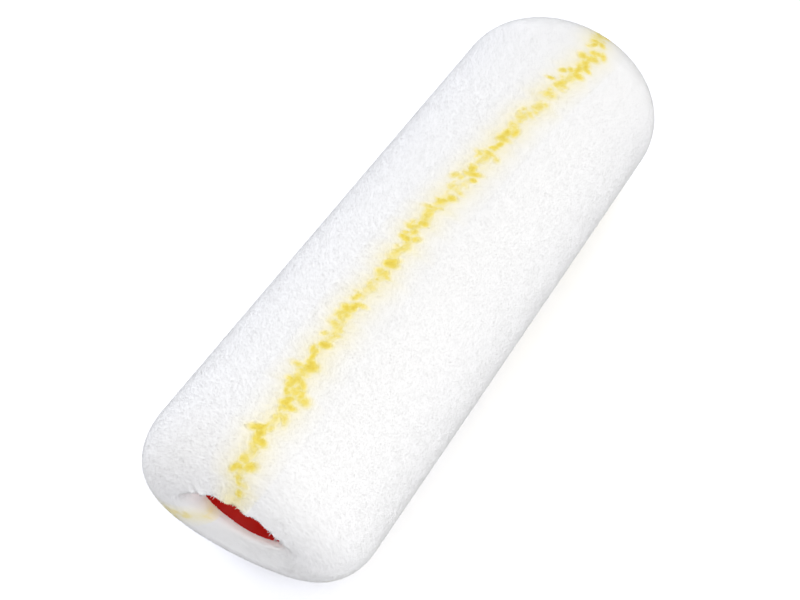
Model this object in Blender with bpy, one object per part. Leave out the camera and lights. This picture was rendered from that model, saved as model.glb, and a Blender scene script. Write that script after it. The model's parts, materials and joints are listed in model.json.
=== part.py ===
"""Paint roller sleeve: a plush cover on a plastic core that turns on two bearing bushes.

Units are metres, +Z is up. The sleeve lies along X on the surface z = 0, its middle over the origin.
Each piece is shaped round its own Z axis, and an empty on the spin axis turns that onto world X.
"""

import math

import bmesh
import bpy
from mathutils import Matrix

# Plush cover
SLEEVE_LENGTH = 0.250  # over the pile at both ends
COVER_HEIGHT = 0.018  # cloth and pile together, from the core out
CLOTH_THICKNESS = 0.001
MOUTH_DIAMETER = 0.035  # hole that the turned-in pile leaves at each end
PILE_OVERHANG = 0.0075  # how far the pile stands past the plug's rim
CREST_INSET = 0.0026  # how far the end's crest lies inside the pile's back
SHOULDER_LENGTH = 0.021  # length of the rounding from full diameter to the end's crest
REST_SAG = 0.0009  # how far the pile is pressed flat where the sleeve lies

# Yellow marker stripes in the plush
STRIPE_COUNT = 3
STRIPE_WIDTH = 0.008
STRIPE_ANGLE = math.radians(193.7)  # first stripe at mid length, counted from the lowest line
STRIPE_TWIST = math.radians(14.0)  # turn of a stripe from end to end

# Core tube
CORE_DIAMETER = 0.048
CORE_WALL = 0.002

# End plugs: a flanged cup with a ribbed web and a hub
PLUG_LENGTH = 0.030
PLUG_WALL = 0.0022
FLANGE_THICKNESS = 0.0015
CUP_DEPTH = 0.014  # from the rim down to the web
WEB_THICKNESS = 0.0025
HUB_NOSE = 0.005  # how far the hub stands out of the web
HUB_LENGTH = 0.022
HUB_WALL = 0.0025
RIB_COUNT = 6
RIB_THICKNESS = 0.0018
RIB_DROP = 0.001  # how far the ribs stay below the hub's nose
LEAD_IN = 0.001  # chamfer that starts the plug in the core

# Bearing bushes on the frame's rod
ROD_DIAMETER = 0.008
ROD_CLEARANCE = 0.0001
BUSH_WALL = 0.0014
BUSH_FLANGE_THICKNESS = 0.0015
SNAP_LIP = 0.0009  # how far the snap fingers catch behind the hub
SNAP_LENGTH = 0.003
FINGER_COUNT = 4
SLIT_WIDTH = 0.0012
SLIT_LENGTH = 0.009

# Clearances
FIT_GAP = 0.0003  # between pieces that are glued or pressed together
RUN_GAP = 0.0003  # between the bush and the hub that turns on it

# Facets
TURN_STEPS = 48
BUSH_STEPS = 32
FIELD_STEPS = 18  # round one white field
STRIPE_STEPS = 2
SHOULDER_STEPS = 6
LIP_STEPS = 5
LENGTH_STEPS = 6

# Radii, from the core outwards and inwards
CORE_RADIUS = CORE_DIAMETER / 2
CLOTH_INNER = CORE_RADIUS + FIT_GAP
CLOTH_OUTER = CLOTH_INNER + CLOTH_THICKNESS
PILE_INNER = CLOTH_OUTER + FIT_GAP
SLEEVE_RADIUS = CORE_RADIUS + COVER_HEIGHT
MOUTH_RADIUS = MOUTH_DIAMETER / 2
CREST_RADIUS = PILE_INNER - CREST_INSET
CORE_BORE = CORE_RADIUS - CORE_WALL
PLUG_RADIUS = CORE_BORE - FIT_GAP
CUP_RADIUS = PLUG_RADIUS - PLUG_WALL
ROD_BORE = ROD_DIAMETER / 2 + ROD_CLEARANCE
BUSH_RADIUS = ROD_BORE + BUSH_WALL
HUB_BORE = BUSH_RADIUS + RUN_GAP
HUB_RADIUS = HUB_BORE + HUB_WALL

# Places along the axis, from mid length outwards
PILE_END = SLEEVE_LENGTH / 2
PILE_SEAT = PILE_END - PILE_OVERHANG
PLUG_FACE = PILE_SEAT - FIT_GAP
CORE_END = PLUG_FACE - FLANGE_THICKNESS - FIT_GAP
HUB_FACE = PLUG_FACE - CUP_DEPTH + HUB_NOSE
BUSH_FACE = HUB_FACE + RUN_GAP + BUSH_FLANGE_THICKNESS

REST_DEPTH = SLEEVE_RADIUS - REST_SAG  # height of the spin axis above the surface


def paint(name, red, green, blue, roughness):
    """A plain material, with its colour in linear values."""
    material = bpy.data.materials.new(name)
    material.use_nodes = True
    shader = material.node_tree.nodes["Principled BSDF"]
    shader.inputs["Base Color"].default_value = (red, green, blue, 1.0)
    shader.inputs["Roughness"].default_value = roughness
    shader.inputs["Metallic"].default_value = 0.0
    return material


def axis_empty(name):
    """An empty on the spin axis, its local Z along world X and its local X straight down."""
    empty = bpy.data.objects.new(name, None)
    empty.location = (0.0, 0.0, REST_DEPTH)
    empty.rotation_euler = (0.0, math.pi / 2, 0.0)
    bpy.context.scene.collection.objects.link(empty)
    return empty


def add_object(name, mesh, material=None, parent=None):
    piece = bpy.data.objects.new(name, mesh)
    piece.parent = parent
    if material:
        mesh.materials.append(material)
    bpy.context.scene.collection.objects.link(piece)
    return piece


def add_mesh(name, bm):
    """Turns a finished bmesh into a smooth mesh with its true corners kept sharp."""
    mesh = bpy.data.meshes.new(name)
    bm.to_mesh(mesh)
    bm.free()
    mesh.shade_smooth()
    mesh.set_sharp_from_angle(angle=math.radians(30))
    return mesh


def turned(name, profile, steps):
    """A solid turned round Z from a closed outline of (radius, height) points."""
    bm = bmesh.new()
    corners = [bm.verts.new((radius, 0.0, height)) for radius, height in profile]
    edges = [bm.edges.new((a, b)) for a, b in zip(corners, corners[1:] + corners[:1])]
    bmesh.ops.spin(
        bm, geom=corners + edges, cent=(0, 0, 0), axis=(0, 0, 1), angle=math.tau, steps=steps
    )
    bmesh.ops.remove_doubles(bm, verts=bm.verts, dist=1e-6)
    bmesh.ops.recalc_face_normals(bm, faces=bm.faces)
    return add_mesh(name, bm)


def block(bm, size, place, turn=0.0):
    """Adds a box of the given size, its middle at a place, then turned round Z."""
    matrix = Matrix.Rotation(turn, 4, "Z") @ Matrix.Translation(place) @ Matrix.Diagonal((*size, 1.0))
    bmesh.ops.create_cube(bm, size=1.0, matrix=matrix)


def hidden_tool(name, bm, parent):
    """A cutter or a filler for a Boolean, which isn't a piece of the sleeve."""
    tool = add_object(name, add_mesh(name, bm), parent=parent)
    tool.hide_render = True
    tool.display_type = "WIRE"
    return tool


def use_tool(piece, tool, operation):
    boolean = piece.modifiers.new(operation.title(), "BOOLEAN")
    boolean.operation = operation
    boolean.solver = "EXACT"
    boolean.object = tool


def pile_rungs():
    """The pile's section as rungs, each a pair of (radius, height) points: the free surface and the back.

    From the upper end's lip the rungs go over its crest and shoulder, along the sleeve, and round the
    lower end in the same way. The shoulder's first rung ends in the corner between seat and cloth.
    """
    end = []
    for i in range(LIP_STEPS + 1):
        turn = math.pi / 2 * (1 - i / LIP_STEPS)
        radius = CREST_RADIUS - (CREST_RADIUS - MOUTH_RADIUS) * math.sin(turn)
        end.append(((radius, PILE_SEAT + PILE_OVERHANG * math.cos(turn)), (radius, PILE_SEAT)))
    shoulder_start = PILE_END - SHOULDER_LENGTH
    for i in range(1, SHOULDER_STEPS + 1):
        turn = math.pi / 2 * i / SHOULDER_STEPS
        radius = CREST_RADIUS + (SLEEVE_RADIUS - CREST_RADIUS) * math.sin(turn)
        height = shoulder_start + SHOULDER_LENGTH * math.cos(turn)
        back = PILE_SEAT + (shoulder_start - PILE_SEAT) * (i - 1) / (SHOULDER_STEPS - 1)
        end.append(((radius, height), (PILE_INNER, back)))
    middle = [shoulder_start * (1 - 2 * i / LENGTH_STEPS) for i in range(1, LENGTH_STEPS)]
    along = [((SLEEVE_RADIUS, z), (PILE_INNER, z)) for z in middle]
    mirrored = [((r, -z), (back_r, -back_z)) for (r, z), (back_r, back_z) in reversed(end)]
    return end + along + mirrored


def pile_sector(name, middle_angle, width_angle, steps, material, parent):
    """One strip of plush over the whole length and round both ends, twisted with the stripes."""
    bm = bmesh.new()
    front, back = [], []
    for (radius, height), (back_radius, back_height) in pile_rungs():
        front.append(bm.verts.new((radius, 0.0, height)))
        at_lip = math.isclose(height, back_height) and math.isclose(radius, back_radius)
        back.append(front[-1] if at_lip else bm.verts.new((back_radius, 0.0, back_height)))
    for i in range(len(front) - 1):
        corners = [front[i], front[i + 1], back[i + 1], back[i]]
        bm.faces.new(list(dict.fromkeys(corners)))
    section = bm.verts[:] + bm.edges[:] + bm.faces[:]
    bmesh.ops.spin(
        bm, geom=section, cent=(0, 0, 0), axis=(0, 0, 1), angle=width_angle, steps=steps
    )
    start = middle_angle - width_angle / 2
    for vert in bm.verts:
        twist = start + STRIPE_TWIST * vert.co.z / SLEEVE_LENGTH
        vert.co = Matrix.Rotation(twist, 3, "Z") @ vert.co
        vert.co.x = min(vert.co.x, REST_DEPTH)
    bmesh.ops.recalc_face_normals(bm, faces=bm.faces)
    return add_object(name, add_mesh(name, bm), material, parent)


def plush(white, yellow, parent):
    """White fields and yellow stripes by turns round the cloth."""
    pitch = math.tau / STRIPE_COUNT
    gap = FIT_GAP / PILE_INNER
    stripe = STRIPE_WIDTH / SLEEVE_RADIUS
    for i in range(STRIPE_COUNT):
        angle = STRIPE_ANGLE + i * pitch
        pile_sector(f"yellow_stripe_{i + 1}", angle, stripe, STRIPE_STEPS, yellow, parent)
        field = pitch - stripe - 2 * gap
        pile_sector(f"white_pile_{i + 1}", angle + pitch / 2, field, FIELD_STEPS, white, parent)


def tube(name, outer, inner, half_length, material, parent):
    profile = [(outer, half_length), (outer, -half_length), (inner, -half_length), (inner, half_length)]
    return add_object(name, turned(name, profile, TURN_STEPS), material, parent)


def plug_mesh():
    """The plug's turned body, with its rim at height 0 and its hub reaching down into the core."""
    web_top = -CUP_DEPTH
    web_back = web_top - WEB_THICKNESS
    hub_top = web_top + HUB_NOSE
    hub_back = hub_top - HUB_LENGTH
    profile = [
        (CORE_RADIUS, 0.0),
        (CORE_RADIUS, -FLANGE_THICKNESS),
        (PLUG_RADIUS, -FLANGE_THICKNESS),
        (PLUG_RADIUS, LEAD_IN - PLUG_LENGTH),
        (PLUG_RADIUS - LEAD_IN, -PLUG_LENGTH),
        (CUP_RADIUS, -PLUG_LENGTH),
        (CUP_RADIUS, web_back),
        (HUB_RADIUS, web_back),
        (HUB_RADIUS, hub_back),
        (HUB_BORE, hub_back),
        (HUB_BORE, hub_top),
        (HUB_RADIUS, hub_top),
        (HUB_RADIUS, web_top),
        (CUP_RADIUS, web_top),
        (CUP_RADIUS, 0.0),
    ]
    return turned("plug_body", profile, TURN_STEPS)


def plug_ribs(parent):
    """Ribs that stand on the web between the hub and the cup's wall, let into all three."""
    let_in = min(HUB_WALL, PLUG_WALL, WEB_THICKNESS) / 2
    inner, outer = HUB_RADIUS - let_in, CUP_RADIUS + let_in
    low, high = -CUP_DEPTH - let_in, -CUP_DEPTH + HUB_NOSE - RIB_DROP
    bm = bmesh.new()
    for i in range(RIB_COUNT):
        block(
            bm,
            (outer - inner, RIB_THICKNESS, high - low),
            ((outer + inner) / 2, 0.0, (high + low) / 2),
            math.tau * i / RIB_COUNT,
        )
    return hidden_tool("rib_filler", bm, parent)


def bush_mesh():
    """The bush's turned body, with its flange's face at height 0 and its snap lip at the bottom."""
    neck_back = -BUSH_FLANGE_THICKNESS - HUB_LENGTH - 2 * RUN_GAP
    lip_radius = BUSH_RADIUS + SNAP_LIP
    profile = [
        (HUB_RADIUS, 0.0),
        (HUB_RADIUS, -BUSH_FLANGE_THICKNESS),
        (BUSH_RADIUS, -BUSH_FLANGE_THICKNESS),
        (BUSH_RADIUS, neck_back),
        (lip_radius, neck_back),
        (lip_radius, neck_back - SNAP_LENGTH / 3),
        (BUSH_RADIUS - SNAP_LIP / 2, neck_back - SNAP_LENGTH),
        (ROD_BORE, neck_back - SNAP_LENGTH),
        (ROD_BORE, 0.0),
    ]
    return turned("bush_body", profile, BUSH_STEPS)


def bush_slits(parent):
    """Slits that part the bush's inner end into snap fingers."""
    end = -BUSH_FLANGE_THICKNESS - HUB_LENGTH - 2 * RUN_GAP - SNAP_LENGTH
    inner, outer = ROD_BORE / 2, BUSH_RADIUS + 2 * SNAP_LIP
    bm = bmesh.new()
    for i in range(FINGER_COUNT):
        block(
            bm,
            (outer - inner, SLIT_WIDTH, 2 * SLIT_LENGTH),
            ((outer + inner) / 2, 0.0, end),
            math.tau * i / FINGER_COUNT,
        )
    return hidden_tool("slit_cutter", bm, parent)


def at_each_end(name, mesh, material, parent, place):
    """A left and a right copy, the left one turned to face the other way."""
    pieces = []
    for side, sign in (("left", -1), ("right", 1)):
        piece = add_object(f"{name}_{side}", mesh.copy(), material, parent)
        piece.location = (0.0, 0.0, sign * place)
        piece.rotation_euler = (0.0 if sign > 0 else math.pi, 0.0, 0.0)
        pieces.append(piece)
    return pieces


def build():
    for old in list(bpy.data.objects):
        bpy.data.objects.remove(old, do_unlink=True)

    white = paint("white_polyamide_pile", 0.86, 0.86, 0.84, 0.9)
    yellow = paint("yellow_polyamide_pile", 0.82, 0.56, 0.08, 0.9)
    ground = paint("woven_polyester_ground", 0.78, 0.77, 0.72, 0.95)
    red = paint("red_polypropylene", 0.48, 0.012, 0.008, 0.35)
    acetal = paint("natural_acetal", 0.82, 0.82, 0.79, 0.4)

    sleeve_axis = axis_empty("sleeve_axis")
    bearing_axis = axis_empty("bearing_axis")

    tube("core_tube", CORE_RADIUS, CORE_BORE, CORE_END, red, sleeve_axis)
    tube("backing_cloth", CLOTH_OUTER, CLOTH_INNER, PLUG_FACE, ground, sleeve_axis)
    plush(white, yellow, sleeve_axis)

    for plug in at_each_end("end_plug", plug_mesh(), red, sleeve_axis, PLUG_FACE):
        use_tool(plug, plug_ribs(plug), "UNION")
    for bush in at_each_end("bush", bush_mesh(), acetal, bearing_axis, BUSH_FACE):
        use_tool(bush, bush_slits(bush), "DIFFERENCE")


build()
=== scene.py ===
# %% [markdown]
# # A plush paint roller sleeve
# The sleeve is a plastic core with a deep white pile wrapped round it, marked with broken yellow stripes.
# Only the sleeve is modelled, as it is sold for refilling a roller frame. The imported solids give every
# size and place, and this script grows the soft pile on them and finishes the plastic.

import json
import math

import bmesh
import bpy
import numpy as np
from mathutils import Matrix, Vector


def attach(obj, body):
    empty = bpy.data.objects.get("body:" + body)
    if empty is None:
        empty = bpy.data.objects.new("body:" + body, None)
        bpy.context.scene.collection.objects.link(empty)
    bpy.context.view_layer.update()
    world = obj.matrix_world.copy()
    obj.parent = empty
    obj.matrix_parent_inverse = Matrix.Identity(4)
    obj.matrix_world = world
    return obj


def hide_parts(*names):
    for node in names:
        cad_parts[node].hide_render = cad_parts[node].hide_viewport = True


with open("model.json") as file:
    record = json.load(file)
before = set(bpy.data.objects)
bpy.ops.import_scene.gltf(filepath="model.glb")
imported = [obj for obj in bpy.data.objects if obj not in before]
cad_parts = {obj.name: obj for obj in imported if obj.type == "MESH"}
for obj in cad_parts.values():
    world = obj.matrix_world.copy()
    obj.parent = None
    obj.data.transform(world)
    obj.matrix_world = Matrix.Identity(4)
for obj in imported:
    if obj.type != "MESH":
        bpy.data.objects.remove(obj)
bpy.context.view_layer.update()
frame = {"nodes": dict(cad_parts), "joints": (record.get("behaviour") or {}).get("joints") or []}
MM = 0.001

# %% [markdown]
# ## Measuring the frame
# The pile's outline could be typed in again, but then it would drift from the solids as soon as someone
# changes a size there. So the few numbers that describe the outline are read from the solids' own corners:
# how far each corner lies along the spin axis, and how far off it.

# %% Read the sleeve's sizes
AXIS_HEIGHT = frame["joints"][0]["pos_m"][2]


def around_axis(node):
    """A solid's corners as (along the axis, off the axis, angle from +Y towards +Z)."""
    corners = np.array([v.co for v in frame["nodes"][node].data.vertices])
    x, y, z = corners.T
    z = z - AXIS_HEIGHT
    return x, np.hypot(y, z), np.arctan2(z, y)


PILE_NODES = sorted(n for n in frame["nodes"] if n.startswith(("white_pile", "yellow_stripe")))
along, off, _ = np.concatenate([around_axis(n) for n in PILE_NODES], axis=1)
TINY = 0.01 * MM
SLEEVE_RADIUS = off.max()
HALF_LENGTH = along.max()
MOUTH_RADIUS = off.min()
CREST_RADIUS = off[along > HALF_LENGTH - TINY].mean()
SEAT = along[off < MOUTH_RADIUS + TINY].max()
SHOULDER_START = along[off > SLEEVE_RADIUS - TINY].max()
BACK_RADIUS = off[np.abs(along) < SHOULDER_START / 2].min()
print("sleeve in mm: radius", round(SLEEVE_RADIUS / MM, 2), "half length", round(HALF_LENGTH / MM, 2))
print("ends in mm: mouth", round(MOUTH_RADIUS / MM, 2), "crest", round(CREST_RADIUS / MM, 2))
print("seat of the pile in mm:", round(SEAT / MM, 2))

# %% Read where the stripes run
STRIPE_NODES = [n for n in PILE_NODES if n.startswith("yellow_stripe")]


def mean_angle(angles):
    return math.atan2(np.sin(angles).mean(), np.cos(angles).mean())


def stripe_line(node):
    """A stripe's angle at mid length, its turn for each metre along the axis, and half its angular width."""
    x, radius, angle = around_axis(node)
    outside = radius > BACK_RADIUS + (SLEEVE_RADIUS - BACK_RADIUS) / 2
    edges = angle[outside & (np.abs(x) < MM)]
    middle = mean_angle(edges)
    right = mean_angle(angle[outside & (np.abs(x - SHOULDER_START) < MM)])
    half_width = max(abs(math.remainder(edge - middle, math.tau)) for edge in edges)
    return middle, math.remainder(right - middle, math.tau) / SHOULDER_START, half_width


STRIPE_ANGLES, twists, half_widths = zip(*(stripe_line(n) for n in STRIPE_NODES))
TWIST = float(np.mean(twists))
STRIPE_HALF = float(np.mean(half_widths))
print("stripes at", [round(math.degrees(a), 1) for a in STRIPE_ANGLES], "degrees")
print("stripe width in mm:", round(2 * STRIPE_HALF * SLEEVE_RADIUS / MM, 2))

# %% [markdown]
# ## Camera
# The photograph looks down on the sleeve from near one end. The camera is placed by its angles and by where
# the sleeve's middle lies in front of it, which is how such a fit comes out: so far right, up and forward.

# %% Place the camera
AZIMUTH = math.radians(-59.11)
ELEVATION = math.radians(51.3)
SLEEVE_IN_VIEW = Vector((9.88 * MM, 9.3 * MM, 500.8 * MM))
FOCAL_PIXELS = 1350
IMAGE_WIDTH = 800
SENSOR_WIDTH_MM = 36

right = Vector((math.cos(AZIMUTH), math.sin(AZIMUTH), 0))
forward = Vector((
    -math.sin(AZIMUTH) * math.cos(ELEVATION), math.cos(AZIMUTH) * math.cos(ELEVATION), -math.sin(ELEVATION)
))
up = right.cross(forward)
camera = bpy.data.objects.new("camera", bpy.data.cameras.new("camera"))
bpy.context.scene.collection.objects.link(camera)
bpy.context.scene.camera = camera
turn = Matrix((right, up, -forward)).transposed().to_4x4()
middle = Vector((0, 0, AXIS_HEIGHT))
place = middle - right * SLEEVE_IN_VIEW.x - up * SLEEVE_IN_VIEW.y - forward * SLEEVE_IN_VIEW.z
camera.matrix_world = Matrix.Translation(place) @ turn
camera.data.sensor_width = SENSOR_WIDTH_MM
camera.data.lens = FOCAL_PIXELS * SENSOR_WIDTH_MM / IMAGE_WIDTH
camera.data.clip_start = 10 * MM
print("camera at", [round(c / MM) for c in place], "mm, lens", round(camera.data.lens, 2), "mm")

# %% [markdown]
# ## Helpers for nodes and colours
# Materials and Geometry Nodes are both trees of nodes. One function adds a node, sets its properties and
# fills its inputs, with a plain value or with another node's output. Colours are written as the hex values
# that a paint chart shows, and turned to the linear values that light is computed in.


# %% Node and colour helpers
def add_node(tree, kind, inputs=None, **settings):
    """Adds a node, sets its properties, and gives its inputs a value or another node's output."""
    node = tree.nodes.new(kind)
    for name, value in settings.items():
        setattr(node, name, value)
    for key, value in (inputs or {}).items():
        if isinstance(value, bpy.types.NodeSocket):
            tree.links.new(value, node.inputs[key])
        else:
            node.inputs[key].default_value = value
    return node


def linear(code):
    """The linear colour of an sRGB hex code."""
    shares = [int(code[i : i + 2], 16) / 255 for i in (1, 3, 5)]
    return tuple(s / 12.92 if s <= 0.04045 else ((s + 0.055) / 1.055) ** 2.4 for s in shares) + (1.0,)


def new_material(name, **sockets):
    """A material with its tree and its shader, whose even values are set on the shader's own sockets."""
    material = bpy.data.materials.new(name)
    material.use_nodes = True
    tree = material.node_tree
    shader = tree.nodes["Principled BSDF"]
    for socket, value in sockets.items():
        shader.inputs[socket.replace("_", " ")].default_value = value
    return material, tree, shader


print("mid grey in linear values:", [round(share, 3) for share in linear("#808080")])

# %% [markdown]
# ## Pile fibre
# The pile is crimped polyamide yarn, cut into tufts: matt, but with the soft sheen that light gets from
# thousands of round fibres. The tufts carry two numbers in a UV map: how much yellow dye a tuft has, and how
# far up the tuft a point lies. A colour ramp turns the first into colour, and the second paints a slight
# shade towards the roots, deep in the pile. Painting by those two numbers keeps one material for every tuft.

# %% Polyamide pile
# From undyed white to yarn that is yellow throughout
DYE_COLOURS = [
    (0.0, "#FAFAFB"),
    (0.2, "#FCF8E7"),
    (0.42, "#FBF1C2"),
    (0.58, "#F9EB9C"),
    (0.74, "#F6E378"),
    (0.88, "#F4DF66"),
    (1.0, "#F1D650"),
]
# Painted shade: a tuft's colour at its root, as a share of its colour at the tip
ROOT_PAINTED_SHADE = 0.97


def pile_material(name):
    # Crimped fibre ends: matt, with a soft sheen at grazing angles and no sharp highlight
    material, tree, shader = new_material(
        name, Roughness=0.85, Sheen_Weight=0.25, Sheen_Roughness=0.5, Specular_IOR_Level=0.2
    )
    uv = add_node(tree, "ShaderNodeUVMap", uv_map="OFBake")
    parts = add_node(tree, "ShaderNodeSeparateXYZ", {"Vector": uv.outputs["UV"]})
    ramp = add_node(tree, "ShaderNodeValToRGB", {"Fac": parts.outputs["X"]})
    stops = ramp.color_ramp.elements
    while len(stops) < len(DYE_COLOURS):
        stops.new(0.5)
    for stop, (position, code) in zip(stops, DYE_COLOURS):
        stop.position = position
        stop.color = linear(code)
    # Painted shade: the dye's colour is scaled down towards the roots
    shade = add_node(
        tree, "ShaderNodeMapRange", {"Value": parts.outputs["Y"], "To Min": ROOT_PAINTED_SHADE, "To Max": 1.0}
    )
    shaded_dye = add_node(
        tree,
        "ShaderNodeVectorMath",
        {0: ramp.outputs["Color"], "Scale": shade.outputs["Result"]},
        operation="SCALE",
    )
    tree.links.new(shaded_dye.outputs["Vector"], shader.inputs["Base Color"])
    return material


WHITE_PILE = pile_material("white polyamide pile")
YELLOW_PILE = pile_material("yellow polyamide pile")
print("pile fibre:", WHITE_PILE.name, "and", YELLOW_PILE.name)

# %% [markdown]
# ## The pile's outline
# Seen from the side, the pile runs straight along the sleeve, rounds over a shoulder to a crest at each end,
# and turns in to the mouth. Both roundings are quarter ellipses, so a formula gives the outline, which is
# then divided into even steps. The roots lie a tuft's height below the outline, and less towards the
# mouth, where the pile is sheared short.

# %% Outline of the pile
STEP = 0.7 * MM
TUFT_HEIGHT = 0.9 * MM
BODY_DEPTH = 0.4 * MM  # from the tips down to the body of dense pile
LIP_TRIM, LIP_REACH = 0.8, 9 * MM  # share of the height left at a lip, and how far the shearing goes
LIP_TIGHTER = 1.2 * MM
LIP_RADIUS = MOUTH_RADIUS - LIP_TIGHTER
LIP_POINTS, SHOULDER_POINTS = 40, 80


def pile_outline():
    """(along, off) points of the outline from the left lip to the right lip, in even steps."""
    lip = np.linspace(0, np.pi / 2, LIP_POINTS)
    shoulder = np.linspace(0, np.pi / 2, SHOULDER_POINTS)[1:]
    x = np.concatenate([
        SEAT + (HALF_LENGTH - SEAT) * np.sin(lip),
        SHOULDER_START + (HALF_LENGTH - SHOULDER_START) * np.cos(shoulder),
    ])
    radius = np.concatenate([
        CREST_RADIUS - (CREST_RADIUS - LIP_RADIUS) * np.cos(lip),
        CREST_RADIUS + (SLEEVE_RADIUS - CREST_RADIUS) * np.sin(shoulder),
    ])
    x = np.concatenate([-x, x[::-1]])
    radius = np.concatenate([radius, radius[::-1]])
    length = np.concatenate([[0], np.cumsum(np.hypot(np.diff(x), np.diff(radius)))])
    even = np.linspace(0, length[-1], round(length[-1] / STEP) + 1)
    return np.interp(even, length, x), np.interp(even, length, radius), even


def smooth(share):
    share = np.clip(share, 0, 1)
    return share * share * (3 - 2 * share)


OUTLINE_X, OUTLINE_R, ARC = pile_outline()
slope_x, slope_r = np.gradient(OUTLINE_X, ARC), np.gradient(OUTLINE_R, ARC)
to_lip = np.minimum(ARC, ARC[-1] - ARC)
TRIM = LIP_TRIM + (1 - LIP_TRIM) * smooth(to_lip / LIP_REACH)


def below_outline(depth):
    """The outline moved in by a depth, and by less where the pile is sheared short."""
    return OUTLINE_X + slope_r * depth * TRIM, OUTLINE_R - slope_x * depth * TRIM


ROOT_X, ROOT_R = below_outline(TUFT_HEIGHT)
print("outline:", len(ARC), "points over", round(ARC[-1] / MM, 1), "mm")

# %% [markdown]
# ## Placing points on the sleeve
# Every soft piece is laid out as distances along the sleeve and angles round it, and then placed in the
# part's frame. A lattice or sculpting could bend the finished pieces, but one function that moves points
# keeps the tips, the roots and the body below them together. It does what the photograph shows: the near
# lip hangs into the mouth in uneven locks, and reaches in over the plug and lies back below, the soft ends
# aren't quite square to the axis, and the stripes bow a little. The pile is pressed where the sleeve lies.

# %% Shape of the near lip
NEAR_MOUTH = (-0.4 * MM, 1.5 * MM)  # the mouth's centre, sideways and up from the axis
NEAR_LIP_RADIUS, NEAR_CREST_RADIUS = 17.2 * MM, 20.5 * MM
NEAR_RISE, NEAR_DROP = 5.5 * MM, 1.5 * MM  # how far the lower lip reaches in, and lies back
RISE_FROM, RISE_TO = 0.2, -1.1  # as sines of the angle round the mouth
DROP_FROM, DROP_TO = 0.8, 0.0
WARP_END, DROP_END = 36 * MM, 40 * MM  # radii at which the changes have faded out
LOCKS, LOCK_LENGTHS, LOCK_SEED = 54, (0.4, 1.3), 71
LOCK_LEVEL = 0.45  # longer locks than this hang into the mouth
LOCK_HANG, HANG_END = 1.15 * MM, 27 * MM
HANG_FROM, HANG_TO = 0.8, 0.45  # as cosines: none hang at one corner


def reach(angle, radius, centre):
    """How far from the axis a circle with its own centre lies, at some angles round the axis."""
    across = centre[0] * np.sin(angle) - centre[1] * np.cos(angle)
    return centre[0] * np.cos(angle) + centre[1] * np.sin(angle) + np.sqrt(radius**2 - across**2)


lock_lengths = np.random.default_rng(LOCK_SEED).uniform(*LOCK_LENGTHS, LOCKS)


def locks(angle):
    """How long the locks of fibres are round a mouth."""
    place = angle / math.tau * LOCKS % LOCKS
    lock = place.astype(int)
    share = smooth(place - lock)
    return lock_lengths[lock % LOCKS] * (1 - share) + lock_lengths[(lock + 1) % LOCKS] * share


def near_mouth(radius, angle, free):
    """How far the near lip is moved out from the axis, and how far back along it."""
    rise = smooth((RISE_FROM - np.sin(angle)) / (RISE_FROM - RISE_TO))
    lip = reach(angle, NEAR_LIP_RADIUS, NEAR_MOUTH) - NEAR_RISE * rise
    low = smooth((DROP_FROM - np.sin(angle)) / (DROP_FROM - DROP_TO))
    crest = reach(angle, NEAR_CREST_RADIUS, NEAR_MOUTH)
    crest = crest + (CREST_RADIUS - crest) * low
    at_lip = smooth((CREST_RADIUS - radius) / (CREST_RADIUS - LIP_RADIUS))
    past_crest = smooth((WARP_END - radius) / (WARP_END - CREST_RADIUS))
    at_crest = free * np.where(radius < CREST_RADIUS, 1 - at_lip, past_crest)
    drop = NEAR_DROP * low * free * smooth((DROP_END - radius) / (DROP_END - CREST_RADIUS))
    upper = smooth(np.sin(angle)) * smooth((HANG_FROM - np.cos(angle)) / (HANG_FROM - HANG_TO))
    hang = LOCK_HANG * (locks(angle) - LOCK_LEVEL) * upper
    hang = hang * free * smooth((HANG_END - radius) / (HANG_END - CREST_RADIUS))
    return at_lip * (lip - LIP_RADIUS) + at_crest * (crest - CREST_RADIUS) - hang, drop - hang


top_and_bottom = np.radians([90, 270])
near_lip_moves, _ = near_mouth(np.array(LIP_RADIUS), top_and_bottom, free=1)
print("near lip moved out at top and bottom in mm:", np.round(near_lip_moves / MM, 1))

# %% From sleeve coordinates to places
NEAR_SKEW = (3.2 * MM, 2.9 * MM, 2.5 * MM)  # sideways, upward, and as a saddle
FAR_SKEW = (2.5 * MM, 3.1 * MM, 0.0)
SKEW_START = 0.5  # share of the half length from which the ends stand askew
BOW = -5.2 * MM  # round the sleeve, at mid length
FLOOR_GAP, BODY_FLOOR, ROOT_FLOOR = 0.15 * MM, 0.45 * MM, 0.8 * MM  # least heights, by layer
PRESS_SOFTNESS = 1.3 * MM


def above(z, floor):
    """Heights kept above a floor, with a soft change from the round side to the pressed one."""
    share = np.clip(0.5 + (z - floor) / (2 * PRESS_SOFTNESS), 0, 1)
    return floor + (z - floor) * share + PRESS_SOFTNESS * share * (1 - share)


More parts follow.
